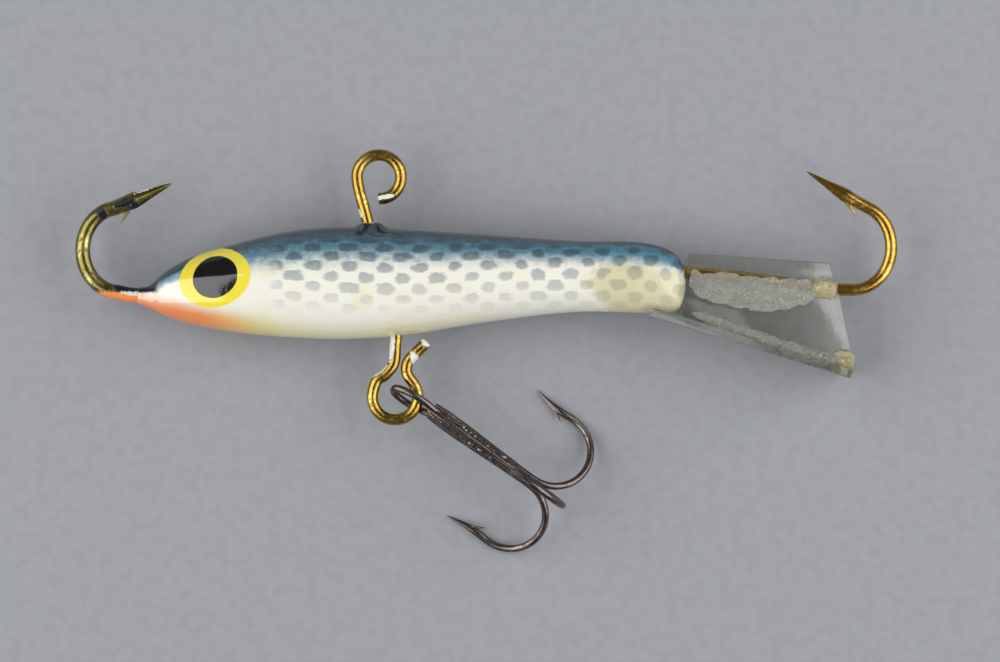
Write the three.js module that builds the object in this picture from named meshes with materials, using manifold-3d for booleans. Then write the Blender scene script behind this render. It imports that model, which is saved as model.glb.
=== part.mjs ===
// A small cast and painted minnow jig for ice fishing, lying on its left side.
// Millimetres, +Z up. The drawing frame has its origin at the nose, X towards the tail,
// Y towards the back and Z out of the fish's side; the end of the file sets it on the table.

import * as THREE from "three";
import { mergeVertices } from "three/addons/utils/BufferGeometryUtils.js";
import Module from "manifold-3d";

const wasm = await Module();
wasm.setup();

// Driving dimensions

const gap = 0.3; // clearance where one piece is let into another
const midHeight = 3.95; // the fish's middle plane above the table

// Sections of the cast and painted body: place along it, back, belly, half thickness.
const bodySections = [
  [-0.9, -0.85, -0.85, 0],
  [-0.65, -0.2, -1.5, 0.68],
  [0.4, 0.1, -1.93, 1.0],
  [1.6, 1.2, -2.55, 1.85],
  [3.8, 2.43, -3.25, 2.7],
  [6.5, 3.3, -3.82, 3.35],
  [12.6, 4.75, -4.42, 4.0],
  [17.5, 5.06, -4.55, 4.05],
  [23, 4.79, -4.1, 4.03],
  [28.5, 4.45, -3.2, 3.65],
  [36.5, 3.9, -2.25, 2.95],
  [42.8, 3.68, -2.3, 2.3],
  [45.5, 2.5, -2.0, 1.55],
  [46.2, 0.15, 0.15, 0],
];
const bodyRings = 40;
const bodySides = 32;

// Paint built up round the foot of the line tie.
const mound = { x: 19.4, y: 5.05, halfLength: 1.55, rise: 0.52, halfWidth: 1.2, sides: 20, rings: 12 };

const tieRadius = 0.53; // line tie wire
const hangerRadius = 0.5; // belly wire
const trebleRadius = 0.31;
const pointRadius = 0.04; // what is left of the wire at a hook's tip
const pointFullness = 0.8; // 1 draws a straight cone, less a fuller one

// Both single hooks have the same oval bend.
const bend = { halfWidth: 3.22, halfHeight: 3.64, steps: 40 };
const frontHook = {
  radius: 0.58, // with the paint on it
  shank: [[1.7, -0.8], [0.3, -0.8], [-1.2, -0.75]],
  centre: [-2.25, 3.08],
  from: 268,
  to: 98,
  point: [[-0.9, 7.38], [2.22, 8.77]],
  taper: 3.6,
  barb: [[-1.71, 7.0], [-1.1, 7.1], [-2.18, 5.3]],
};
const rearHook = {
  radius: 0.52,
  shank: [[44.5, 1.35], [52, 0.61], [59.2, -0.3]],
  centre: [60.5, 3.33],
  from: -80,
  to: 70,
  point: [[60.5, 7.35], [56.5, 9.78]],
  taper: 3.6,
  barb: [[59.3, 7.55], [60.4, 7.05], [60.75, 5.85]],
};

const lineTie = {
  leg: [[19.2, 4.5], [18.75, 6.3], [18.25, 8.1]],
  centre: [19.92, 9.32],
  radius: 1.88,
  from: 195,
  to: -92,
  steps: 34,
};

const hanger = {
  leg: [[21.45, -3.6], [21.35, -4.9], [21.15, -6.7], [20.45, -7.6], [19.75, -8.1]],
  centre: [21.3, -9.49],
  radius: 1.95,
  from: 176,
  to: 396,
  tail: [[22.3, -7.45], [22.4, -6.5], [23.1, -5.7], [24.05, -4.8]],
  steps: 48,
};

// Tail fin: an upright web let over the rear wire, and a wing across its lower edge.
const webThickness = 0.9;
const webOutline = [[46.5, 2.82], [58.74, 2.22], [59.15, -0.4], [60.2, -7.3], [46, -3], [46.2, 1.7]];
const wing = {
  front: [43.3, -1.85],
  length: 17.86,
  slope: 17.4,
  thickness: 0.73,
  frontHalfWidth: 2.06,
  rearHalfWidth: 3.88,
  corner: 1.3,
  cornerSteps: 6,
};
const sleeve = { from: 56.7, to: 59.05, radius: 1.2 };

// Treble: three wires brazed along one shank. Lengths run from the outer end of its eye.
const treble = {
  crossing: [23.17, -9.75], // where the belly wire passes through the eye
  crossingAt: 2.45,
  heading: -35.6, // direction of the shank as it lies
  height: 4.0,
  shank: [[4.3, 0.62], [7, 0.62], [11, 0.44]], // one wire: along the shank, off its axis
  strandOffset: 0.36, // off the axis where the bends begin
  bendCentre: [14.5, 3.87],
  bendHalfLength: 3.2,
  point: [[12.7, 7.3], [10.35, 7.68]],
  taper: 2.6,
  barb: [[12.05, 7.3], [12.75, 7.2], [13.6, 6.45]],
  steps: 30,
  rolls: [90, -30, 210], // one prong stands up, two lie on the table
  // Half of the eye, from where it leaves the shank to its outer end.
  eyeStrand: [[5, 0.36], [4.6, 0.38], [3.5, 0.87], [2.1, 1.12], [1.1, 0.94], [0.43, 0.5]],
  eyeRoll: 66,
  eyeTurn: -5.5, // the eye is bent a little off the line of the shank
  eyeNeck: 4.6,
  eyeSteps: 32,
  solder: { from: 3.9, to: 13.2, radius: 0.62, thinner: 0.25, steps: 8 }, // thinner by that share at its ends
};

const wireSides = 10;
const trebleSides = 8;
const roundPoints = 12; // points that carry a round stretch of wire
const sameVertex = 1e-4; // vertices nearer than this are one

// Materials

function finish(color, roughness, metalness, more = {}) {
  return new THREE.MeshStandardMaterial({ color, roughness, metalness, ...more });
}

const paint = finish("#8fa9ae", 0.2, 0);
const brass = finish("#8a7433", 0.35, 0.9);
const gold = finish("#a5842f", 0.3, 0.95);
const bronze = finish("#5d5836", 0.45, 0.8);
const gunmetal = finish("#4a413f", 0.4, 0.85);
const clearPlastic = finish("#dfe2dc", 0.1, 0, { transparent: true, opacity: 0.35 });

// Solids

function solidOf(geometry) {
  const bare = geometry.clone();
  bare.deleteAttribute("normal");
  bare.deleteAttribute("uv");
  const merged = mergeVertices(bare, sameVertex);
  const mesh = new wasm.Mesh({
    numProp: 3,
    vertProperties: merged.attributes.position.array,
    triVerts: new Uint32Array(merged.index.array),
  });
  return new wasm.Manifold(mesh);
}

function geometryOf(solid) {
  const mesh = solid.getMesh();
  const geometry = new THREE.BufferGeometry();
  geometry.setAttribute("position", new THREE.BufferAttribute(mesh.vertProperties, 3));
  geometry.setIndex(new THREE.BufferAttribute(mesh.triVerts, 1));
  geometry.computeVertexNormals();
  return geometry;
}

function piece(name, solid, material) {
  const mesh = new THREE.Mesh(geometryOf(solid), material);
  mesh.name = name;
  return mesh;
}

// Wires

const degrees = THREE.MathUtils.degToRad;

function arcPoints(centre, halfWidth, halfHeight, from, to) {
  const clockwise = to < from;
  const arc = new THREE.EllipseCurve(
    centre[0],
    centre[1],
    halfWidth,
    halfHeight,
    degrees(from),
    degrees(to),
    clockwise,
  );
  return arc.getPoints(roundPoints).map((p) => [p.x, p.y]);
}

function flatCurve(points) {
  const at = points.map(([x, y]) => new THREE.Vector3(x, y, 0));
  return new THREE.CatmullRomCurve3(at, false, "centripetal");
}

// A round wire bent along a flat curve: a cylinder whose rings are moved onto the curve.
function bentWire(curve, steps, radiusAt, sides = wireSides) {
  const length = curve.getLength();
  const wire = new THREE.CylinderGeometry(1, 1, 1, sides, steps);
  const at = wire.attributes.position;
  for (let i = 0; i < at.count; i++) {
    const share = THREE.MathUtils.clamp(at.getY(i) + 0.5, 0, 1);
    const centre = curve.getPointAt(share);
    const along = curve.getTangentAt(share);
    const radius = radiusAt(share * length, length);
    const across = at.getX(i) * radius;
    const x = centre.x + along.y * across;
    const y = centre.y - along.x * across;
    at.setXYZ(i, x, y, at.getZ(i) * radius);
  }
  return wire;
}

function evenWire(radius) {
  return () => radius;
}

// Full thickness, then drawn out to a point over the last stretch.
function pointedWire(radius, taper) {
  return (distance, length) => {
    const left = Math.min((length - distance) / taper, 1);
    return pointRadius + (radius - pointRadius) * Math.pow(left, pointFullness);
  };
}

// A barb is a thin spike raised from the wire, in the hook's own plane.
function barbSolid(corners, thickness) {
  const outline = new THREE.Shape(corners.map(([x, y]) => new THREE.Vector2(x, y)));
  const spike = new THREE.ExtrudeGeometry(outline, { depth: thickness, bevelEnabled: false });
  spike.translate(0, 0, -thickness / 2);
  return solidOf(spike);
}

// Body

const noseEnd = bodySections[0][0];
const bodyLength = bodySections.at(-1)[0] - noseEnd;
const stations = bodySections.map(([x]) => Math.acos(1 - (2 * (x - noseEnd)) / bodyLength) / Math.PI);
const sectionRows = bodySections.flatMap(([, back, belly, half]) => [back, belly, half]);
const sectionAt = new THREE.CubicInterpolant(stations, sectionRows, 3);

// A sphere whose rings are moved to the fish's sections; grow makes it larger all round.
function bodyForm(grow) {
  const form = new THREE.SphereGeometry(1, bodySides, bodyRings);
  const at = form.attributes.position;
  for (let i = 0; i < at.count; i++) {
    const along = THREE.MathUtils.clamp(-at.getY(i), -1, 1);
    const ring = Math.sqrt(1 - along * along);
    const [back, belly, half] = sectionAt.evaluate(Math.acos(-along) / Math.PI);
    const atPole = ring < sameVertex;
    const upward = atPole ? 0 : at.getX(i) / ring;
    const outward = atPole ? 0 : at.getZ(i) / ring;
    const middle = (back + belly) / 2;
    const halfHeight = Math.max((back - belly) / 2, 0) + grow * ring;
    const halfThickness = Math.max(half, 0) + grow * ring;
    const x = noseEnd + (bodyLength * (1 + along)) / 2 + grow * along;
    at.setXYZ(i, x, middle + upward * halfHeight, outward * halfThickness);
  }
  return solidOf(form);
}

function moundForm(grow) {
  const form = new THREE.SphereGeometry(1, mound.sides, mound.rings);
  form.scale(mound.halfLength + grow, mound.rise + grow, mound.halfWidth + grow);
  form.translate(mound.x, mound.y, 0);
  return solidOf(form);
}

// Everything below the table is taken off, which leaves the small flat spot the fish lies on.
function underTable() {
  const depth = 10;
  const block = new THREE.BoxGeometry(4 * bodyLength, 4 * bodyLength, depth);
  block.translate(0, 0, -midHeight - depth / 2);
  return solidOf(block);
}

const bodySolid = bodyForm(0).add(moundForm(0)).subtract(underTable());
const bodyRoom = bodyForm(gap).add(moundForm(gap));

// Single hooks

function hookCurve(hook) {
  const round = arcPoints(hook.centre, bend.halfWidth, bend.halfHeight, hook.from, hook.to);
  return flatCurve([...hook.shank, ...round, ...hook.point]);
}

function singleHook(hook) {
  const wire = bentWire(hookCurve(hook), bend.steps, pointedWire(hook.radius, hook.taper));
  return solidOf(wire).add(barbSolid(hook.barb, hook.radius)).subtract(bodyRoom);
}

// Line tie and belly wire

function lineTieSolid() {
  const { leg, centre, radius, from, to, steps } = lineTie;
  const curve = flatCurve([...leg, ...arcPoints(centre, radius, radius, from, to)]);
  return solidOf(bentWire(curve, steps, evenWire(tieRadius))).subtract(bodyRoom);
}

function hangerSolid() {
  const { leg, centre, radius, from, to, tail, steps } = hanger;
  const round = arcPoints(centre, radius, radius, from, to);
  const curve = flatCurve([...leg, ...round, ...tail]);
  return solidOf(bentWire(curve, steps, evenWire(hangerRadius))).subtract(bodyRoom);
}

// Tail fin

function webSolid() {
  const outline = new THREE.Shape(webOutline.map(([x, y]) => new THREE.Vector2(x, y)));
  const web = new THREE.ExtrudeGeometry(outline, { depth: webThickness, bevelEnabled: false });
  web.translate(0, 0, -webThickness / 2);
  return solidOf(web);
}

function wingSolid() {
  const { length, corner, frontHalfWidth, rearHalfWidth } = wing;
  const plan = new THREE.Shape();
  plan.moveTo(0, -frontHalfWidth);
  plan.lineTo(length - corner, -rearHalfWidth);
  plan.quadraticCurveTo(length, -rearHalfWidth, length, corner - rearHalfWidth);
  plan.lineTo(length, rearHalfWidth - corner);
  plan.quadraticCurveTo(length, rearHalfWidth, length - corner, rearHalfWidth);
  plan.lineTo(0, frontHalfWidth);
  plan.closePath();
  const plate = new THREE.ExtrudeGeometry(plan, {
    depth: wing.thickness,
    bevelEnabled: false,
    curveSegments: wing.cornerSteps,
  });
  plate.rotateX(Math.PI / 2);
  plate.rotateZ(degrees(-wing.slope));
  plate.translate(wing.front[0], wing.front[1], 0);
  return solidOf(plate);
}

// The plastic round the wire where it leaves the web.
function sleeveSolid() {
  const [start, end] = rearHook.shank.slice(-2);
  const fall = (end[1] - start[1]) / (end[0] - start[0]);
  const heightAt = (x) => end[1] + (x - end[0]) * fall;
  const run = flatCurve([
    [sleeve.from, heightAt(sleeve.from)],
    [sleeve.to, heightAt(sleeve.to)],
  ]);
  return solidOf(bentWire(run, 1, evenWire(sleeve.radius)));
}

function tailFin() {
  const wireRoom = solidOf(bentWire(hookCurve(rearHook), bend.steps, evenWire(rearHook.radius + gap)));
  return webSolid().add(wingSolid()).add(sleeveSolid()).subtract(wireRoom).subtract(bodyRoom);
}

// Treble

function prong(roll) {
  const { shank, strandOffset, bendCentre, bendHalfLength, point, taper, barb, steps } = treble;
  const bendHalfHeight = bendCentre[1] - strandOffset;
  const round = arcPoints(bendCentre, bendHalfLength, bendHalfHeight, -90, 90);
  const curve = flatCurve([...shank, ...round, ...point]);
  const wire = solidOf(bentWire(curve, steps, pointedWire(trebleRadius, taper), trebleSides));
  return wire.add(barbSolid(barb, trebleRadius)).rotate([roll, 0, 0]);
}

function trebleEye() {
  const { eyeStrand, eyeNeck, eyeSteps } = treble;
  const mirrored = eyeStrand.map(([x, y]) => [x, -y]).reverse();
  const curve = flatCurve([...eyeStrand, [trebleRadius, 0], ...mirrored]);
  const ring = solidOf(bentWire(curve, eyeSteps, evenWire(trebleRadius), trebleSides));
  return ring
    .rotate([treble.eyeRoll, 0, 0])
    .translate([-eyeNeck, 0, 0])
    .rotate([0, 0, -treble.eyeTurn])
    .translate([eyeNeck, 0, 0]);
}

function solderSolid() {
  const { from, to, radius, thinner, steps } = treble.solder;
  const run = flatCurve([[from, 0], [to, 0]]);
  const swell = (distance, length) => radius * (1 - thinner * Math.pow((2 * distance) / length - 1, 4));
  return solidOf(bentWire(run, steps, swell));
}

function trebleSolid() {
  const prongs = treble.rolls.map(prong);
  return prongs.reduce((joined, next) => joined.add(next), trebleEye().add(solderSolid()));
}

// Assembly

const fish = new THREE.Group();
fish.position.z = midHeight;
fish.add(piece("body", bodySolid, paint));
fish.add(piece("front_hook", singleHook(frontHook), bronze));
fish.add(piece("rear_hook", singleHook(rearHook), gold));
fish.add(piece("line_tie", lineTieSolid(), brass));
fish.add(piece("belly_wire", hangerSolid(), brass));
fish.add(piece("tail_fin", tailFin(), clearPlastic));

const trebleMesh = piece("treble_hook", trebleSolid(), gunmetal);
trebleMesh.position.x = -treble.crossingAt;
const hungTreble = new THREE.Group();
hungTreble.position.set(treble.crossing[0], treble.crossing[1], treble.height);
hungTreble.rotation.z = degrees(treble.heading);
hungTreble.add(trebleMesh);

const lying = new THREE.Group();
lying.add(fish, hungTreble);

// The origin is on the table, under the middle of the whole jig.
const jig = new THREE.Group();
const extent = new THREE.Box3().setFromObject(lying, true);
lying.position.x = -(extent.min.x + extent.max.x) / 2;
lying.position.y = -(extent.min.y + extent.max.y) / 2;
lying.position.z = -extent.min.z;
jig.add(lying);

export default jig;
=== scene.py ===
import math
import random

import bmesh
import bpy
from mathutils import Matrix, Vector, geometry, noise


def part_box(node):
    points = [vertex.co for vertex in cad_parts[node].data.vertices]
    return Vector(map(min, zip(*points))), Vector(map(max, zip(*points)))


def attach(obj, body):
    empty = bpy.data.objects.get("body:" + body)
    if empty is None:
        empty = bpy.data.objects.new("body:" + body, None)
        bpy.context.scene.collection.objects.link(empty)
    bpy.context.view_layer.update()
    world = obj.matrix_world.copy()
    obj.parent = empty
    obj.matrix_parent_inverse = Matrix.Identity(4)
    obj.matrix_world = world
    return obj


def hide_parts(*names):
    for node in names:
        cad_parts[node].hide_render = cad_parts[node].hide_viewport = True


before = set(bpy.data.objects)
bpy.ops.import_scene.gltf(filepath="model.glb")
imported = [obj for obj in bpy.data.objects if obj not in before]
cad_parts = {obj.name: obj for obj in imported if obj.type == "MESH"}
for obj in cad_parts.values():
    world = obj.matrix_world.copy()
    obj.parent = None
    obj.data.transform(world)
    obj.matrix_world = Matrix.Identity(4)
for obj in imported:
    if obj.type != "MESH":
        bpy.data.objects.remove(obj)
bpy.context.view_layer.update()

mm = 0.001
fullTurn = 2 * math.pi

# The drawing has its origin at the nose: X to the tail, Y to the back, Z out of the flank that shows.
bodyLow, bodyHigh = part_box("body")
drawing = {
    "noseTip": -0.9,  # lowest X of the body
    "moundTop": 5.57,  # highest Y of the body
    "midHeight": 3.95,  # the fish's middle plane above the table
}
origin = Vector((
    bodyLow.x - drawing["noseTip"] * mm,
    bodyHigh.y - drawing["moundTop"] * mm,
    drawing["midHeight"] * mm,
))
toRow = Matrix.Translation(origin) @ Matrix.Scale(mm, 4)


# Shapes

def finishPiece(bm, name, material, body, nodes=(), sharpAngle=40):
    bmesh.ops.transform(bm, matrix=toRow, verts=bm.verts)
    bmesh.ops.recalc_face_normals(bm, faces=bm.faces)
    mesh = bpy.data.meshes.new(name)
    bm.to_mesh(mesh)
    bm.free()
    mesh.shade_smooth()
    mesh.set_sharp_from_angle(angle=math.radians(sharpAngle))
    mesh.materials.append(material)
    made = bpy.data.objects.new(name, mesh)
    bpy.context.scene.collection.objects.link(made)
    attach(made, body)
    if nodes:
        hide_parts(*nodes)
    return made


def arc(centre, halfWidth, halfHeight, start, end, count=12):
    angles = [math.radians(start + (end - start) * i / count) for i in range(count + 1)]
    return [(centre[0] + halfWidth * math.cos(a), centre[1] + halfHeight * math.sin(a)) for a in angles]


def smoothLine(points, steps):
    # a centripetal curve through the points, as evenly spaced places with their directions
    points = [Vector((*p, 0.0)) if len(p) == 2 else Vector(p) for p in points]
    ends = [2 * points[0] - points[1], *points, 2 * points[-1] - points[-2]]
    dense = [points[0]]
    for before, start, end, after in zip(ends, ends[1:], ends[2:], ends[3:]):
        knots = [math.sqrt((b - a).length) for a, b in ((before, start), (start, end), (end, after))]
        leave = (start - before) / knots[0] - (end - before) / (knots[0] + knots[1]) + (end - start) / knots[1]
        reach = (end - start) / knots[1] - (after - start) / (knots[1] + knots[2]) + (after - end) / knots[2]
        handles = start + leave * knots[1] / 3, end - reach * knots[1] / 3
        dense += geometry.interpolate_bezier(start, *handles, end, 24)[1:]
    lengths = [0.0]
    for a, b in zip(dense, dense[1:]):
        lengths.append(lengths[-1] + (b - a).length)
    line, at = [], 0
    for i in range(steps + 1):
        wanted = lengths[-1] * i / steps
        while at < len(dense) - 2 and lengths[at + 1] < wanted:
            at += 1
        span = dense[at + 1] - dense[at]
        share = (wanted - lengths[at]) / max(lengths[at + 1] - lengths[at], 1e-9)
        line.append((dense[at] + span * share, span.normalized(), wanted))
    return line


def sweep(bm, line, sides, outline):
    # A grid wrapped round the line. outline gives how far out the skin is, across and up,
    # for a distance along the wire, the wire's length and an angle round it.
    steps = len(line) - 1
    length = line[-1][2]
    skin = bmesh.ops.create_grid(bm, x_segments=steps, y_segments=sides, size=0.5)["verts"]
    for vert in skin:
        centre, along, distance = line[round((vert.co.x + 0.5) * steps)]
        across = Vector((along.y, -along.x, 0)).normalized() if along.xy.length > 1e-6 else Vector((1, 0, 0))
        up = across.cross(along)
        angle = (vert.co.y + 0.5) * fullTurn
        out, high = outline(distance, length, angle)
        vert.co = centre + across * out + up * high
    bmesh.ops.remove_doubles(bm, verts=skin, dist=1e-5)
    skin = [v for v in skin if v.is_valid]
    rims = [e for e in {e for v in skin for e in v.link_edges} if e.is_boundary]
    bmesh.ops.holes_fill(bm, edges=rims)
    return skin


def roundWire(radius, lump=0.0, endRound=0.12):
    # a plain wire with its cut ends slightly rounded; lump makes it uneven
    def outline(distance, length, angle):
        near = min(distance, length - distance) / endRound
        full = radius * (1 if near >= 1 else 0.72 + 0.28 * math.sqrt(1 - (1 - near) ** 2))
        if lump:
            full *= 1 + lump * noise.noise((distance * 1.7, math.cos(angle), math.sin(angle)))
        return full * math.cos(angle), full * math.sin(angle)
    return outline


def hookWire(hook, inside):
    # Round wire, then a spear: cut to two flats on its inner side and drawn out to the tip.
    # inside is +1 or -1, the side of the wire that faces into the bend.
    def outline(distance, length, angle):
        left = (length - distance) / hook["taper"]
        cut = min(max(1.25 - left, 0.0) / 0.35, 1.0) * hook["cutDepth"]
        full = hook["tip"] + (hook["radius"] - hook["tip"]) * min(max(left, 0.0), 1.0) ** 0.8
        full *= 1 + hook["spear"] * math.exp(-((left - 0.92) / 0.3) ** 2)
        toward = math.cos(angle) * inside
        if toward > 0:
            flat = 1 / (abs(toward) + abs(math.sin(angle)))
            full *= 1 + (flat - 1) * cut
        return full * math.cos(angle), full * math.sin(angle) * (1 - 0.12 * cut)
    return outline


def spike(bm, points, width, depth, sides=12, steps=14):
    # the barb: a thin tongue raised from the wire, drawn out to nothing
    def outline(distance, length, angle):
        left = 1 - distance / length
        full = 0.05 + 0.95 * left ** 0.75
        return 0.5 * width * full * math.cos(angle), 0.5 * depth * full * math.sin(angle)
    return sweep(bm, smoothLine(points, steps), sides, outline)


def slab(bm, outline, thickness, middle=0.0, bevel=0.0, segments=2):
    corners = [bm.verts.new((x, y, middle - thickness / 2)) for x, y in outline]
    face = bm.faces.new(corners)
    raised = bmesh.ops.extrude_face_region(bm, geom=[face])["geom"]
    top = [v for v in raised if isinstance(v, bmesh.types.BMVert)]
    bmesh.ops.translate(bm, verts=top, vec=(0, 0, thickness))
    skin = set(corners) | set(top)
    if bevel:
        edges = [e for e in {e for v in skin for e in v.link_edges}]
        bmesh.ops.bevel(
            bm, geom=edges, offset=bevel, offset_type="OFFSET", affect="EDGES",
            segments=segments, profile=0.5, material=-1,
        )
    return skin


# Shaders

def tint(code):
    parts = [int(code[i:i + 2], 16) / 255 for i in (1, 3, 5)]
    return (*[p / 12.92 if p <= 0.04045 else ((p + 0.055) / 1.055) ** 2.4 for p in parts], 1.0)


class Sock:
    # One output of a shader node: sums on it add the maths nodes.
    def __init__(self, shader, out):
        self.shader, self.out = shader, out

    def maths(self, operation, first, *others):
        sides = (first, *others)
        vector = any(isinstance(s, Sock) and s.out.type == "VECTOR" for s in sides)
        kind = "VectorMath" if vector else "Math"
        return self.shader.node(kind, {"operation": operation}, dict(enumerate(sides)))

    def __add__(self, other): return self.maths("ADD", self, other)
    def __radd__(self, other): return self.maths("ADD", other, self)
    def __sub__(self, other): return self.maths("SUBTRACT", self, other)
    def __rsub__(self, other): return self.maths("SUBTRACT", other, self)
    def __mul__(self, other): return self.maths("MULTIPLY", self, other)
    def __rmul__(self, other): return self.maths("MULTIPLY", other, self)
    def __truediv__(self, other): return self.maths("DIVIDE", self, other)
    def __pow__(self, other): return self.maths("POWER", self, other)
    def __abs__(self): return self.maths("ABSOLUTE", self)
    def __mod__(self, other): return self.maths("FLOORED_MODULO", self, other)
    def floor(self): return self.maths("FLOOR", self)
    def least(self, other): return self.maths("MINIMUM", self, other)
    def most(self, other): return self.maths("MAXIMUM", self, other)


class Shader:
    def __init__(self, name):
        self.material = bpy.data.materials.new(name)
        self.material.use_nodes = True
        self.tree = self.material.node_tree
        self.tree.nodes.clear()

    def node(self, kind, settings=None, inputs=None, output=0):
        made = self.tree.nodes.new("ShaderNode" + kind)
        for key, value in (settings or {}).items():
            if key == "stops":
                ramp = made.color_ramp
                while len(ramp.elements) < len(value):
                    ramp.elements.new(1.0)
                for element, (place, code) in zip(ramp.elements, value):
                    element.position, element.color = place, tint(code)
            elif key == "blend":
                made.color_ramp.interpolation = value
            else:
                setattr(made, key, value)
        for key, value in (inputs or {}).items():
            socket = made.inputs[key]
            if isinstance(value, Sock):
                self.tree.links.new(value.out, socket)
            elif socket.type == "VECTOR" and isinstance(value, (int, float)):
                socket.default_value = (value, value, value)
            elif isinstance(value, str):
                socket.default_value = tint(value)
            else:
                socket.default_value = value
        return Sock(self, made.outputs[output]) if made.outputs else None

    def point(self):
        # the place on the piece in the drawing's millimetres
        spot = self.node("TexCoord", output="Object")
        return (spot - tuple(origin)) * (1 / mm)

    def split(self, vector):
        return [self.node("SeparateXYZ", None, {0: vector}, i) for i in range(3)]

    def join(self, x, y, z):
        return self.node("CombineXYZ", None, {0: x, 1: y, 2: z})

    def noise(self, vector, scale, detail=3.0, rough=0.55, warp=0.0):
        inputs = {"Vector": vector, "Scale": scale, "Detail": detail, "Roughness": rough, "Distortion": warp}
        return self.node("TexNoise", None, inputs)

    def cells(self, vector, scale, output="Distance", feature="F1", jitter=1.0):
        inputs = {"Vector": vector, "Scale": scale, "Randomness": jitter}
        return self.node("TexVoronoi", {"feature": feature}, inputs, output)

    def smooth(self, value, low, high, toLow=0.0, toHigh=1.0):
        inputs = {0: value, 1: low, 2: high, 3: toLow, 4: toHigh}
        return self.node("MapRange", {"interpolation_type": "SMOOTHSTEP"}, inputs)

    def mix(self, first, second, factor, blend="MIX"):
        inputs = {0: factor, 6: first, 7: second}
        return self.node("Mix", {"data_type": "RGBA", "blend_type": blend}, inputs, 2)

    def ramp(self, value, stops, blend="EASE"):
        return self.node("ValToRGB", {"stops": stops, "blend": blend}, {0: value})

    def blob(self, point, centre, half, turn=0.0, soft=0.15, ragged=None):
        # 1 inside an ellipse in the flank's plane, 0 outside; ragged is a value that shifts its edge
        x, y = self.split(point)[:2]
        across, up = x - centre[0], y - centre[1]
        cosine, sine = math.cos(math.radians(turn)), math.sin(math.radians(turn))
        along = (across * cosine + up * sine) / half[0]
        aside = (up * cosine - across * sine) / half[1]
        reach = (along * along + aside * aside) ** 0.5
        if ragged is not None:
            reach = reach + ragged
        return self.smooth(reach, 1 + soft, 1 - soft)

    def bump(self, height, distance, strength=1.0, normal=None):
        inputs = {"Height": height, "Distance": distance, "Strength": strength}
        if normal is not None:
            inputs["Normal"] = normal
        return self.node("Bump", None, inputs)

    def finish(self, inputs):
        shaded = self.node("BsdfPrincipled", None, inputs)
        self.node("OutputMaterial", None, {"Surface": shaded})
        return self.material


# Body

fish = {
    "sections": [  # X, back, belly, half thickness
        (-0.9, -0.85, -0.85, 0), (-0.65, -0.2, -1.5, 0.68), (0.4, 0.1, -1.93, 1.0),
        (1.6, 1.2, -2.55, 1.85), (3.8, 2.43, -3.25, 2.7), (6.5, 3.3, -3.82, 3.35),
        (12.6, 4.75, -4.42, 4.0), (17.5, 5.06, -4.55, 4.05), (23, 4.79, -4.1, 4.03),
        (28.5, 4.45, -3.2, 3.65), (36.5, 3.9, -2.25, 2.95), (42.8, 3.68, -2.3, 2.3),
        (45.5, 2.5, -2.0, 1.55), (46.2, 0.15, 0.15, 0),
    ],
    "sides": 144,
    "rings": 240,
    "mound": (19.3, 0.52, 1.1, 0.95),  # X, height, half length, half width of the paint round the line tie
}


def sectionAt(share):
    # back, belly and half thickness at a share of the way from nose to tail, by angle along a sphere
    rows = fish["sections"]
    first, last = rows[0][0], rows[-1][0]
    places = [math.acos(1 - 2 * (r[0] - first) / (last - first)) / math.pi for r in rows]
    i = max(k for k in range(len(places) - 1) if places[k] <= share or k == 0)
    start, end = places[i], places[i + 1]
    step = end - start
    before = places[i - 1] if i else 2 * start - end
    after = places[i + 2] if i + 2 < len(places) else 2 * end - start
    rowBefore = rows[i - 1] if i else rows[i]
    rowAfter = rows[i + 2] if i + 2 < len(places) else rows[i + 1]
    p = min(max((share - start) / step, 0.0), 1.0)
    pull = 0.5 * step / (start - before)
    push = 0.5 * step / (after - end)
    weights = (
        -pull * p ** 3 + 2 * pull * p ** 2 - pull * p,
        (1 + pull) * p ** 3 + (-1.5 - 2 * pull) * p ** 2 + (-0.5 + pull) * p + 1,
        (-1 - push) * p ** 3 + (1.5 + push) * p ** 2 + 0.5 * p,
        push * p ** 3 - push * p ** 2,
    )
    around = (rowBefore, rows[i], rows[i + 1], rowAfter)
    return [sum(w * r[k] for w, r in zip(weights, around)) for k in (1, 2, 3)]


def buildFish(material):
    bm = bmesh.new()
    girth = bm.verts.layers.float.new("girth")
    height = bm.verts.layers.float.new("height")
    first, last = fish["sections"][0][0], fish["sections"][-1][0]
    turned = Matrix.Rotation(math.pi / 2, 4, "Y")
    bmesh.ops.create_uvsphere(bm, u_segments=fish["sides"], v_segments=fish["rings"], radius=1, matrix=turned)
    moundX, moundHeight, moundLength, moundWidth = fish["mound"]
    known = {}
    for vert in bm.verts:
        along = min(max(vert.co.x, -1.0), 1.0)
        ring = math.sqrt(max(1 - along * along, 0.0))
        key = round(along, 6)
        if key not in known:
            known[key] = sectionAt(math.acos(-along) / math.pi)
        back, belly, half = known[key]
        upward = vert.co.y / ring if ring > 1e-5 else 0.0
        outward = vert.co.z / ring if ring > 1e-5 else 0.0
        tall, thick = max(back - belly, 0) / 2, max(half, 0)
        x = first + (last - first) * (1 + along) / 2
        y = (back + belly) / 2 + upward * tall
        z = outward * thick
        if upward > 0:
            y += moundHeight * math.exp(-((x - moundX) / moundLength) ** 4 - (z / moundWidth) ** 2)
        vert.co = (x, y, max(z, -drawing["midHeight"]))
        vert[girth] = math.atan2(upward, abs(outward)) * math.sqrt((tall * tall + thick * thick) / 2)
        vert[height] = upward
    return finishPiece(bm, "fish_body", material, "jig", ["body"], 60)


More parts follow.
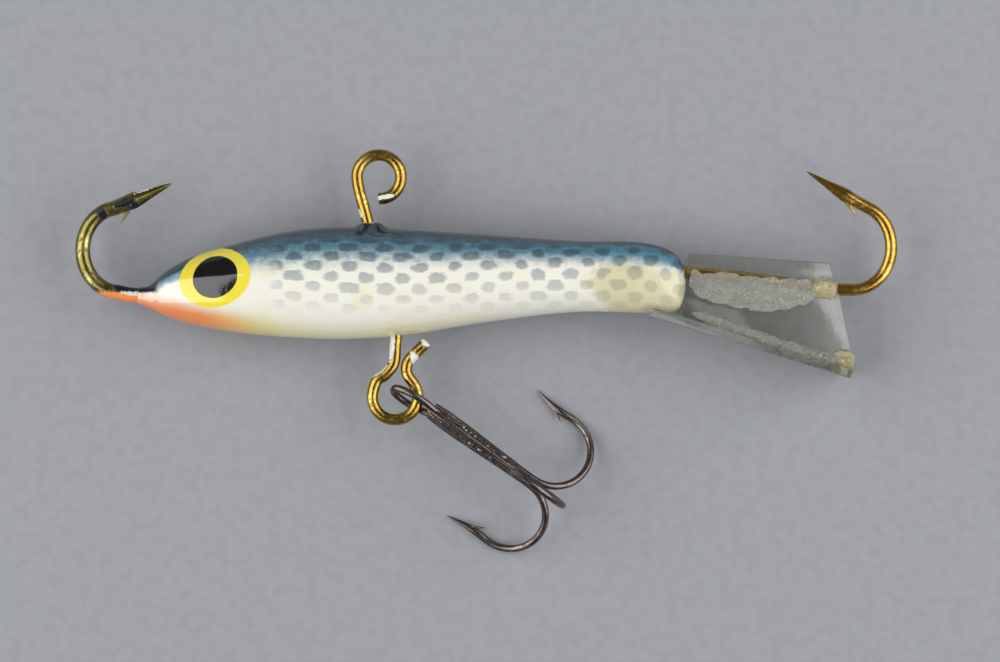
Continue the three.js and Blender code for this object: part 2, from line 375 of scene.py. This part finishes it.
paintTones = {
    "cream": "#e9e7db", "creamWarm": "#e6e0c0", "bellyYellow": "#d8cf98", "spot": "#8f979c",
    "spotBlue": "#46606d", "navy": "#20303b", "orange": "#ee8448", "yellow": "#efd92f",
    "black": "#0b0b0a", "glue": "#d3cb9c",
}
scalePattern = {"halfLength": 0.74, "halfHeight": 0.52}
eye = {
    "ring": ((6.05, 0.67), (3.1, 2.46), 16.4),  # centre, half axes, turn
    "pupil": ((6.06, 0.75), (1.99, 1.73), 29.4),
}


def fishPaint():
    s = Shader("fish_paint")
    p = s.point()
    x, y, z = s.split(p)
    girth = s.node("Attribute", {"attribute_name": "girth"}, None, "Fac")
    height = s.node("Attribute", {"attribute_name": "height"}, None, "Fac")
    coarse = s.noise(p, 0.45, 3)
    medium = s.noise(p, 1.6, 4, 0.6)
    fine = s.noise(p, 6.5, 3, 0.6)
    speck = s.noise(p, 15.0, 2, 0.7)

    # cream ground, warmer behind the throat and along the belly
    tone = s.mix(paintTones["cream"], paintTones["creamWarm"], s.smooth(coarse + 0.25 * fine, 0.62, 0.9))
    belly = s.smooth(height + 0.25 * (coarse - 0.5), -0.62, -0.95) * s.smooth(x, 36, 22)
    tone = s.mix(tone, paintTones["bellyYellow"], 0.6 * belly)

    # ovals in rows, sprayed through a net: every other row is half a step along
    step = x * 0.2904 + x * x * 0.00101 - 3.878
    rowPitch = x * 0.0062 + 0.746
    rowZero = (x - 31) * (x - 31) * 0.0016 + 0.15
    wobbleA, wobbleB = s.noise(p, 0.9, 2), s.noise(p + (9.0, 4.0, 0.0), 0.9, 2)
    rows = (girth - rowZero) / rowPitch + (wobbleA - 0.5) * 0.5
    row = (rows + 0.5).floor()
    columns = step + (wobbleB - 0.5) * 0.35 + (row % 2.0) * 0.5
    column = (columns + 0.5).floor()
    lot = s.node("TexWhiteNoise", {"noise_dimensions": "2D"}, {"Vector": s.join(row, column, 0.0)}, "Value")
    long = (columns - column) * 2.95 / (0.6 + 0.2 * lot)
    tall = (rows - row) * rowPitch / (0.42 + 0.14 * lot)
    reach = (long * long + tall * tall) ** 0.5 + (fine - 0.5) * 0.75 + (medium - 0.5) * 0.5
    oval = s.smooth(reach, 1.22, 0.72)
    oval = oval * s.smooth(x + 2.0 * (medium - 0.5), 10.2, 12.0)
    upper = s.smooth(height, -0.1, 0.8)
    fade = s.smooth(rows + lot * 0.8, -4.2, 1.2)
    inside = 0.72 + 0.55 * (speck - 0.35)
    ovalTone = s.mix(paintTones["spot"], paintTones["spotBlue"], upper)
    lower = s.mix(tone, ovalTone, oval * fade * inside * 0.85)

    # the back is sprayed blue over that, in a mottled edge
    spray = height + (medium - 0.5) * 0.34 + (fine - 0.5) * 0.16 + (coarse - 0.5) * 0.1
    blueTone = s.ramp(spray, [
        (0.0, "#c3cac6"), (0.3, "#a9b9bd"), (0.5, "#7f9aa5"), (0.66, "#5d7f8e"),
        (0.8, "#3b5a69"), (0.91, "#253743"), (1.0, "#1b2630"),
    ], "EASE")
    blueTone = s.mix(blueTone, "#4f8ea6", 0.35 * s.smooth(x, 26, 40) * s.smooth(height, 0.4, 0.65))
    veil = s.smooth(spray, 0.16, 0.62)
    darker = s.mix(blueTone, paintTones["spotBlue"], oval * 0.75, "MIX")
    darker = s.mix(darker, "#16222b", oval * 0.35 * s.smooth(height, 0.3, 0.9))
    tone = s.mix(lower, darker, veil)
    edge = s.smooth(height + (medium - 0.5) * 0.1, 0.86, 0.97)
    tone = s.mix(tone, paintTones["navy"], edge)

    # yellowed glue over the tail
    film = s.smooth(x + 3.2 * (medium - 0.5) - 0.9 * abs(y - 0.3), 36.6, 38.4)
    film = film * s.smooth(height + 0.3 * (medium - 0.5), 0.45, 0.22)
    tone = s.mix(tone, paintTones["glue"], film * 0.62, "MULTIPLY")
    tone = s.mix(tone, "#cfc594", film * 0.2)

    # orange throat that fades back through yellow
    jaw = y + 0.19 * x + 0.0035 * x * x
    throat = s.smooth(jaw + (coarse - 0.5) * 0.7, -0.15, -1.75) * s.smooth(x, 13.5, 8.0)
    throatTone = s.ramp(x / 14.0 + (medium - 0.5) * 0.12, [
        (0.0, "#e8834a"), (0.3, "#ec8a4c"), (0.5, "#e8a55a"), (0.72, "#dcbc6e"), (1.0, "#ddd09a"),
    ])
    tone = s.mix(tone, throatTone, throat)
    blush = s.smooth(jaw, 0.6, -1.3) * s.smooth(x, 17.0, 9.5) * s.smooth(x, 6.0, 9.5)
    tone = s.mix(tone, "#e3d58c", 0.5 * blush)

    # dark cap on the snout
    cap = s.smooth(y - 0.52 * x + 0.42 + (fine - 0.5) * 0.5, 0.0, 0.32) * s.smooth(x, 5.4, 3.4)
    tone = s.mix(tone, "#24404a", cap)
    tip = s.smooth(y + 0.62 + (fine - 0.5) * 0.4, 0.0, 0.18) * s.smooth(x, 1.3, 0.7)
    tone = s.mix(tone, "#12171f", tip)

    # the eye, which is only paint
    flatNoise = (s.noise(p, 0.8, 1) - 0.5) * 0.05
    ring = s.blob(p, *eye["ring"][:2], eye["ring"][2], 0.014, flatNoise)
    pupil = s.blob(p, *eye["pupil"][:2], eye["pupil"][2], 0.02, flatNoise)
    ringTone = s.mix(paintTones["yellow"], "#e4d64e", s.smooth(coarse, 0.35, 0.7))
    tone = s.mix(tone, ringTone, ring)
    tone = s.mix(tone, paintTones["black"], pupil)

    # specks, and chips through to the ground coat at the wires
    dirt = s.smooth(s.cells(p, 1.9), 0.055, 0.03) * s.smooth(speck, 0.5, 0.62)
    tone = s.mix(tone, "#4b4a3e", 0.55 * dirt * (1 - pupil))
    tieChip = s.blob(p, (19.0, 5.75), (1.15, 0.36), 0, 0.25, (fine - 0.5) * 1.6)
    tone = s.mix(tone, "#dfe0d8", tieChip)

    rough = s.smooth(fine, 0.2, 0.9, 0.07, 0.17) + film * 0.1
    orangePeel = s.bump(s.noise(p, 1.1, 2, 0.5), 0.00003, 0.5)
    gritty = s.bump(film * medium + 0.4 * film * fine, 0.00006, 0.7, orangePeel)
    return s.finish({
        "Base Color": tone, "Roughness": rough, "Normal": gritty,
        "Coat Weight": 0.6, "Coat Roughness": 0.04, "IOR": 1.48,
    })


# Hooks and wires

frontHook = {
    "radius": 0.64, "taper": 3.6, "tip": 0.04, "spear": 0.12, "cutDepth": 0.6,
    "shank": [(1.7, -0.8), (0.3, -0.8), (-1.2, -0.77)],
    "centre": (-2.19, 3.08), "from": 268, "to": 98, "point": [(-0.9, 7.38), (2.22, 8.77)],
    "barb": [(-1.1, 7.2), (-1.45, 6.6), (-1.85, 5.9), (-2.2, 5.35)], "barbSize": (0.5, 0.34),
}
rearHook = {
    "radius": 0.52, "taper": 3.9, "tip": 0.03, "spear": 0.16, "cutDepth": 1.0,
    "shank": [(44.5, 1.35), (52, 0.61), (59.2, -0.3)],
    "centre": (60.5, 3.33), "from": -80, "to": 70, "point": [(60.5, 7.35), (56.5, 9.78)],
    "barb": [(59.55, 7.75), (59.95, 7.2), (60.4, 6.5), (60.78, 5.82)], "barbSize": (0.56, 0.36),
}
hookBend = (3.22, 3.64)
hookDetail = {"sides": 40, "steps": 220}


def buildHook(hook, name, material, node, inside):
    bm = bmesh.new()
    bend = arc(hook["centre"], *hookBend, hook["from"], hook["to"])
    line = smoothLine([*hook["shank"], *bend, *hook["point"]], hookDetail["steps"])
    sweep(bm, line, hookDetail["sides"], hookWire(hook, inside))
    spike(bm, hook["barb"], *hook["barbSize"])
    return finishPiece(bm, name, material, "jig", [node], 35)


tie = {
    "radius": 0.5, "leg": [(19.35, 3.9), (19.2, 4.5), (18.75, 6.3), (18.25, 8.1)],
    "centre": (19.92, 9.32), "bend": 1.88, "from": 195, "to": -92,
}
loop = {
    "radius": 0.49,
    "leg": [(21.5, -3.0), (21.45, -3.6), (21.35, -4.9), (21.15, -6.7), (20.45, -7.6), (19.75, -8.1)],
    "centre": (21.3, -9.49), "bend": 1.95, "from": 176, "to": 396,
    "tail": [(22.3, -7.45), (22.4, -6.5), (23.1, -5.7), (24.05, -4.8)],
}
wireDetail = {"sides": 32, "steps": 200}


def buildTie(material):
    bm = bmesh.new()
    ring = arc(tie["centre"], tie["bend"], tie["bend"], tie["from"], tie["to"])
    line = smoothLine([*tie["leg"], *ring], wireDetail["steps"])
    sweep(bm, line, wireDetail["sides"], roundWire(tie["radius"], 0.015))
    return finishPiece(bm, "line_tie_wire", material, "jig", ["line_tie"])


def buildLoop(material):
    bm = bmesh.new()
    ring = arc(loop["centre"], loop["bend"], loop["bend"], loop["from"], loop["to"])
    line = smoothLine([*loop["leg"], *ring, *loop["tail"]], wireDetail["steps"])
    sweep(bm, line, wireDetail["sides"], roundWire(loop["radius"], 0.015))
    return finishPiece(bm, "belly_loop_wire", material, "jig", ["belly_wire"])


# Treble: three wires brazed together, in its own frame with the shank along X from the eye's outer end

treble = {
    "crossing": (23.17, -9.75), "crossingAt": 2.45, "heading": -35.6, "height": 0.05,
    "radius": 0.31, "taper": 2.6, "tip": 0.025, "spear": 0.1, "cutDepth": 0.8,
    "shank": [(4.0, 0.5), (5.2, 0.6), (7.0, 0.6), (11.0, 0.44)],
    "bendCentre": (14.5, 3.87), "bendHalf": (3.2, 3.51), "point": [(12.7, 7.3), (10.35, 7.68)],
    "barb": [(12.4, 7.28), (12.75, 7.05), (13.2, 6.75), (13.65, 6.42)], "barbSize": (0.34, 0.24),
    "rolls": (90, -30, 210),
    "eye": [(7.2, 0.32), (5.4, 0.36), (4.6, 0.38), (3.5, 0.87), (2.1, 1.12), (1.1, 0.94), (0.43, 0.5)],
    "eyeRoll": 66, "eyeTurn": -5.5, "eyeNeck": 4.6,
    "braze": {"from": 3.7, "to": 13.0, "radius": 0.6},
    "sides": 26, "steps": 150,
}
hang = (
    Matrix.Translation((*treble["crossing"], treble["height"]))
    @ Matrix.Rotation(math.radians(treble["heading"]), 4, "Z")
    @ Matrix.Translation((-treble["crossingAt"], 0, 0))
)


def buildTreble(material):
    bm = bmesh.new()
    bend = arc(treble["bendCentre"], *treble["bendHalf"], -90, 90)
    line = smoothLine([*treble["shank"], *bend, *treble["point"]], treble["steps"])
    for roll in treble["rolls"]:
        skin = sweep(bm, line, treble["sides"], hookWire(treble, -1))
        skin += spike(bm, treble["barb"], *treble["barbSize"])
        bmesh.ops.rotate(bm, verts=skin, matrix=Matrix.Rotation(math.radians(roll), 3, "X"))
    half = treble["eye"]
    ring = [*half, (treble["radius"], 0.0), *[(x, -y) for x, y in reversed(half)]]
    skin = sweep(bm, smoothLine(ring, treble["steps"]), treble["sides"], roundWire(treble["radius"]))
    bmesh.ops.rotate(bm, verts=skin, matrix=Matrix.Rotation(math.radians(treble["eyeRoll"]), 3, "X"))
    neck = Vector((treble["eyeNeck"], 0, 0))
    turn = Matrix.Rotation(math.radians(-treble["eyeTurn"]), 3, "Z")
    bmesh.ops.rotate(bm, verts=skin, cent=neck, matrix=turn)
    braze = treble["braze"]

    def lumpy(distance, length, angle):
        share = 2 * distance / length - 1
        full = braze["radius"] * (1 - 0.35 * share ** 4)
        place = Vector((distance * 2.2, 1.6 * math.cos(angle), 1.6 * math.sin(angle)))
        full *= 1 + 0.22 * noise.noise(place) + 0.1 * noise.noise(place * 3.1)
        return full * math.cos(angle), full * math.sin(angle)

    run = smoothLine([(braze["from"], 0.0), ((braze["from"] + braze["to"]) / 2, 0.0), (braze["to"], 0.0)], 160)
    sweep(bm, run, 40, lumpy)
    bmesh.ops.transform(bm, matrix=hang, verts=bm.verts)
    return finishPiece(bm, "treble", material, "treble", ["treble_hook"])


# Metals

def metal(name, body, light, dark, rough, grime=0.5, extra=None, metallic=1.0):
    s = Shader(name)
    p = s.point()
    broad = s.noise(p, 0.5, 3)
    streak = s.noise(p, 2.4, 4, 0.62)
    fine = s.noise(p, 9.0, 3, 0.6)
    tone = s.mix(body, light, s.smooth(broad + 0.3 * (fine - 0.5), 0.45, 0.75))
    tarnish = s.smooth(streak + 0.5 * (broad - 0.5), 0.5, 0.72)
    tone = s.mix(tone, dark, grime * tarnish)
    pits = s.smooth(s.cells(p, 5.0), 0.14, 0.05) * s.smooth(fine, 0.45, 0.6)
    tone = s.mix(tone, dark, 0.8 * pits)
    roughness = rough + 0.22 * tarnish + (fine - 0.5) * 0.12 + 0.2 * pits
    normal = s.bump(fine + 0.6 * streak - 0.8 * pits, 0.00002, 0.55)
    shine = metallic * (1 - 0.35 * tarnish * grime)
    values = {"Base Color": tone, "Roughness": roughness, "Normal": normal, "Metallic": shine}
    if extra:
        values = extra(s, p, values)
    return s.finish(values)


def whitePaintOn(spots):
    # specks of white paint left on a wire, as centre, half axes and turn
    def extra(s, p, values):
        edge = (s.noise(p, 3.2, 4, 0.65) - 0.5) * 1.5
        cover = None
        for centre, half, turn in spots:
            one = s.blob(p, centre, half, turn, 0.12, edge)
            cover = one if cover is None else cover.most(one)
        values["Base Color"] = s.mix(values["Base Color"], "#dcddd2", cover)
        values["Metallic"] = values["Metallic"] * (1 - cover)
        values["Roughness"] = values["Roughness"] * (1 - cover) + 0.45 * cover
        values["Normal"] = s.bump(cover, 0.00008, 0.8, values["Normal"])
        return values
    return extra


def paintedRoot(s, p, values):
    # the front hook's root: orange below, near black above, with patches of the dark paint further on
    x, y, z = s.split(p)
    ragged = s.noise(p, 1.4, 4, 0.62)
    rim = s.noise(p, 4.0, 3, 0.6)
    centre = frontHook["centre"]
    bottom = y - centre[1] + hookBend[1]
    orange = s.smooth(x + 2.2 * (ragged - 0.5), -4.6, -3.7) * s.smooth(bottom + 0.5 * (rim - 0.5), 0.2, -0.12)
    orange = orange * s.smooth(y, 0.6, 0.0)
    navy = s.smooth(x + 0.9 * (ragged - 0.5), -3.1, -2.4) * s.smooth(bottom + 0.5 * (rim - 0.5), -0.05, 0.16)
    navy = navy * s.smooth(y, 2.0, 1.0)
    patches = [((-1.75, 7.1), (1.0, 0.3), 17), ((-3.7, 6.15), (0.42, 0.5), 35), ((-0.9, 6.75), (0.35, 0.5), 0)]
    dark = navy
    for place, half, turn in patches:
        dark = dark.most(s.blob(p, place, half, turn, 0.1, (rim - 0.5) * 0.9))
    white = s.blob(p, (0.35, 8.5), (1.3, 0.2), 24, 0.15, (rim - 0.5) * 2.6)
    white = white.most(s.blob(p, (-0.3, -0.68), (1.7, 0.18), -4, 0.2, (rim - 0.5) * 2.4))
    tone = s.mix(values["Base Color"], "#e98a4c", orange)
    tone = s.mix(tone, "#141821", dark)
    tone = s.mix(tone, "#cfd2cc", white)
    cover = orange.most(dark).most(white)
    values["Base Color"] = tone
    values["Metallic"] = values["Metallic"] * (1 - cover)
    values["Roughness"] = values["Roughness"] * (1 - cover) + 0.22 * cover
    values["Normal"] = s.bump(cover, 0.00008, 0.7, values["Normal"])
    return values


# Tail fin

fin = {
    "web": [(45.9, 1.5), (46.5, 2.8), (58.4, 1.95), (58.75, 0.7), (59.25, -0.7), (60.55, -7.15), (45.9, -2.6)],
    "webThickness": 0.9, "webBevel": 0.1,
    "front": (43.3, -1.85), "length": 17.86, "slope": 17.4, "thickness": 0.73,
    "frontHalf": 2.06, "rearHalf": 3.88, "corner": 1.3, "wingBevel": 0.08,
}


def finPlate(bm, outline, thickness, bevel):
    skin = slab(bm, outline, thickness)
    edges = list({e for v in skin for e in v.link_edges})
    return bmesh.ops.bevel(
        bm, geom=edges, offset=bevel, offset_type="OFFSET", affect="EDGES",
        segments=2, profile=0.5, material=-1,
    )


def buildFin(material):
    bm = bmesh.new()
    finPlate(bm, fin["web"], fin["webThickness"], fin["webBevel"])
    finPiece = finishPiece(bm, "clear_web", material, "jig", ["tail_fin"], 25)
    bm = bmesh.new()
    length, corner = fin["length"], fin["corner"]
    front, rear = fin["frontHalf"], fin["rearHalf"]
    lower = arc((length - corner, corner - rear), corner, corner, -90, 0, 8)
    upper = arc((length - corner, rear - corner), corner, corner, 0, 90, 8)
    finPlate(bm, [(0.0, -front), *lower, *upper, (0.0, front)], fin["thickness"], fin["wingBevel"])
    lay = (
        Matrix.Translation((*fin["front"], 0))
        @ Matrix.Rotation(math.radians(-fin["slope"]), 4, "Z")
        @ Matrix.Rotation(math.radians(90), 4, "X")
        @ Matrix.Translation((0, 0, fin["thickness"] / 2))
    )
    bmesh.ops.transform(bm, matrix=lay, verts=bm.verts)
    finishPiece(bm, "clear_wing", material, "jig", (), 25)


# Glue, on both sides of the web

glue = {
    "patch": [
        (46.6, 1.4), (48.2, 1.15), (50.5, 0.95), (53, 0.75), (55.6, 0.5), (57.1, 0.2), (57.4, -0.6), (56.6, -1.5),
        (55.2, -1.9), (53.4, -2.15), (51.6, -2.1), (49.9, -1.75), (48.4, -1.3), (47.2, -0.9), (46.5, -0.4),
    ],
    "patchThickness": 0.3,
    "fillet": [(46.6, -2.25), (50.0, -3.5), (54.0, -5.0), (57.5, -6.1), (60.0, -6.6)],
    "filletUp": 0.72, "filletOut": 0.62,
    "corner": (59.5, -6.35), "cornerHalf": (1.2, 0.85, 1.1),
    "sleeve": [(56.9, -0.07), (58.0, -0.18), (59.1, -0.3)], "sleeveRadius": 0.95,
}


def buildGlue(material, yellowed):
    for side, way in (("near", 1), ("far", -1)):
        bm = bmesh.new()
        ragged = []
        for x, y, _ in [(*p.xy, d) for p, _, d in smoothLine([*glue["patch"], glue["patch"][0]], 90)][:-1]:
            shift = noise.noise((x * 1.3, y * 1.3, way * 4.0))
            ragged.append((x + 0.35 * shift, y + 0.3 * shift))
        slab(bm, ragged, glue["patchThickness"], way * fin["webThickness"] / 2, 0.09)
        finishPiece(bm, "web_glue_" + side, material, "jig")
        bm = bmesh.new()

        def lumpy(distance, length, angle):
            share = 2 * distance / length - 1
            full = math.sqrt(max(1 - share ** 6, 0.0)) * (0.62 + 0.38 * distance / length)
            full *= 1 + 0.22 * noise.noise((distance * 0.9, 1.3 * math.cos(angle), way * 1.3 * math.sin(angle)))
            return glue["filletUp"] * full * math.cos(angle), glue["filletOut"] * full * math.sin(angle)

        run = [(x, y, way * 0.5) for x, y in glue["fillet"]]
        sweep(bm, smoothLine(run, 140), 36, lumpy)
        finishPiece(bm, "wing_glue_" + side, material, "jig")
    bm = bmesh.new()
    bmesh.ops.create_icosphere(bm, subdivisions=5, radius=1)
    for vert in bm.verts:
        full = 1 + 0.22 * noise.noise(vert.co * 1.6) + 0.08 * noise.noise(vert.co * 4.0)
        vert.co = [c + h * full * a for c, h, a in zip((*glue["corner"], 0.0), glue["cornerHalf"], vert.co)]
    finishPiece(bm, "corner_glue", yellowed, "jig")
    bm = bmesh.new()

    def plug(distance, length, angle):
        share = 2 * distance / length - 1
        full = glue["sleeveRadius"] * math.sqrt(max(1 - 0.75 * abs(share) ** 4, 0.0))
        full *= 1 + 0.16 * noise.noise((distance, 1.4 * math.cos(angle), 1.4 * math.sin(angle)))
        return full * math.cos(angle), full * math.sin(angle)

    sweep(bm, smoothLine(glue["sleeve"], 60), 36, plug)
    finishPiece(bm, "wire_glue", yellowed, "jig")


def clearPlastic():
    s = Shader("clear_plastic")
    p = s.point()
    haze = s.noise(p, 0.8, 4, 0.6)
    fine = s.noise(p, 5.0, 4, 0.65)
    tone = s.mix("#f1f2ec", "#dedfd2", s.smooth(haze, 0.35, 0.75))
    drawn = s.node("Mapping", None, {"Vector": p, "Scale": (0.4, 6.0, 1.0), "Rotation": (0, 0, -0.3)})
    scratch = s.noise(drawn, 1.5, 3)
    rough = 0.04 + 0.12 * s.smooth(fine, 0.55, 0.8) + 0.06 * s.smooth(scratch, 0.6, 0.75)
    normal = s.bump(haze + 0.15 * scratch, 0.00005, 0.35)
    return s.finish({
        "Base Color": tone, "Roughness": rough, "Normal": normal,
        "Transmission Weight": 0.96, "IOR": 1.49,
    })


def gluePaste(name, pale, deep, clear):
    s = Shader(name)
    p = s.point()
    cloud = s.noise(p, 1.3, 4, 0.6)
    fine = s.noise(p, 6.0, 3, 0.6)
    bubbles = s.smooth(s.cells(p, 1.5), 0.42, 0.1)
    small = s.smooth(s.cells(p, 4.2), 0.4, 0.1)
    tone = s.mix(pale, deep, s.smooth(cloud + 0.3 * (fine - 0.5), 0.35, 0.7))
    tone = s.mix(tone, "#f7f6ee", 0.5 * small)
    rough = s.smooth(cloud, 0.3, 0.7, 0.12, 0.4)
    normal = s.bump(bubbles + 0.5 * small + 0.5 * cloud, 0.00012, 0.8)
    return s.finish({
        "Base Color": tone, "Roughness": rough, "Normal": normal,
        "Transmission Weight": clear, "IOR": 1.46,
    })


print("materials")
paintMaterial = fishPaint()
brassMaterial = metal("brass_wire", "#a08238", "#d9b65e", "#4a3510", 0.2, 0.55, whitePaintOn([
    ((20.95, -4.6), (0.35, 1.9), -4), ((19.9, -7.3), (0.9, 0.2), 35), ((24.1, -4.7), (0.55, 0.5), 45),
    ((23.0, -6.3), (0.35, 0.8), 20), ((18.3, 6.2), (0.14, 0.4), 20), ((20.4, 7.6), (1.0, 0.2), 10),
]))
bronzeMaterial = metal("bronzed_hook", "#7d7440", "#b8ab6a", "#2a2614", 0.24, 0.6, paintedRoot)
goldMaterial = metal("gilt_hook", "#b08a3a", "#dcb55e", "#4a3612", 0.2, 0.4)
nickelMaterial = metal("black_nickel", "#6a5f5b", "#9b908b", "#231c1a", 0.24, 0.6)
clearMaterial = clearPlastic()
glueMaterial = gluePaste("white_glue", "#eeeee6", "#d6d6c8", 0.75)
yellowMaterial = gluePaste("yellow_glue", "#e8e2bb", "#cfc488", 0.55)

print("body")
buildFish(paintMaterial)

print("hooks and wires")
buildHook(frontHook, "nose_hook", bronzeMaterial, "front_hook", 1)
buildHook(rearHook, "tail_hook", goldMaterial, "rear_hook", -1)
buildTie(brassMaterial)
buildLoop(brassMaterial)
buildTreble(nickelMaterial)

print("tail fin and glue")
buildFin(clearMaterial)
buildGlue(glueMaterial, yellowMaterial)

# Floor, lights and camera

studio = {
    "floorSize": 3.0, "floorTone": "#93959a",
    "side": {"x": 0.27, "z": 0.21, "width": 0.36, "depth": 0.46, "watts": 1.45},
    "world": (0.12, 0.122, 0.127, 1), "worldStrength": 1.0,
    "cameraHeight": 0.5, "pixel": 0.0855 * mm, "aim": (500 - 486.3, 351.25 - 331), "imageWidth": 1000,
}


def buildFloor():
    bm = bmesh.new()
    bmesh.ops.create_grid(bm, x_segments=1, y_segments=1, size=studio["floorSize"] / 2)
    mesh = bpy.data.meshes.new("floor")
    bm.to_mesh(mesh)
    bm.free()
    s = Shader("floor_paper")
    spot = s.node("TexCoord", output="Object")
    grain = s.noise(spot, 900.0, 3)
    tone = s.mix(studio["floorTone"], "#8e9095", s.smooth(grain, 0.4, 0.7))
    mesh.materials.append(s.finish({"Base Color": tone, "Roughness": 0.75}))
    floor = bpy.data.objects.new("floor", mesh)
    bpy.context.scene.collection.objects.link(floor)


def buildLights():
    for name, way in (("softbox_left", -1), ("softbox_right", 1)):
        side = studio["side"]
        lamp = bpy.data.lights.new(name, "AREA")
        lamp.shape = "RECTANGLE"
        lamp.size, lamp.size_y = side["width"], side["depth"]
        lamp.energy = side["watts"]
        made = bpy.data.objects.new(name, lamp)
        made.location = (way * side["x"], 0, side["z"])
        made.rotation_euler = (0, way * math.atan2(side["x"], side["z"]), 0)
        bpy.context.scene.collection.objects.link(made)
    world = bpy.data.worlds.new("studio")
    world.use_nodes = True
    shade = world.node_tree.nodes["Background"]
    shade.inputs["Color"].default_value = studio["world"]
    shade.inputs["Strength"].default_value = studio["worldStrength"]
    bpy.context.scene.world = world


def buildCamera():
    camera = bpy.data.cameras.new("camera")
    seen = studio["imageWidth"] * studio["pixel"]
    height = studio["cameraHeight"] - origin.z
    camera.lens = camera.sensor_width * height / seen
    camera.clip_start = 0.01
    made = bpy.data.objects.new("camera", camera)
    aimX, aimY = studio["aim"]
    made.location = (aimX * studio["pixel"], aimY * studio["pixel"], studio["cameraHeight"])
    bpy.context.scene.collection.objects.link(made)
    bpy.context.scene.camera = made


print("studio")
buildFloor()
buildLights()
buildCamera()
bpy.context.scene.view_settings.view_transform = "Standard"
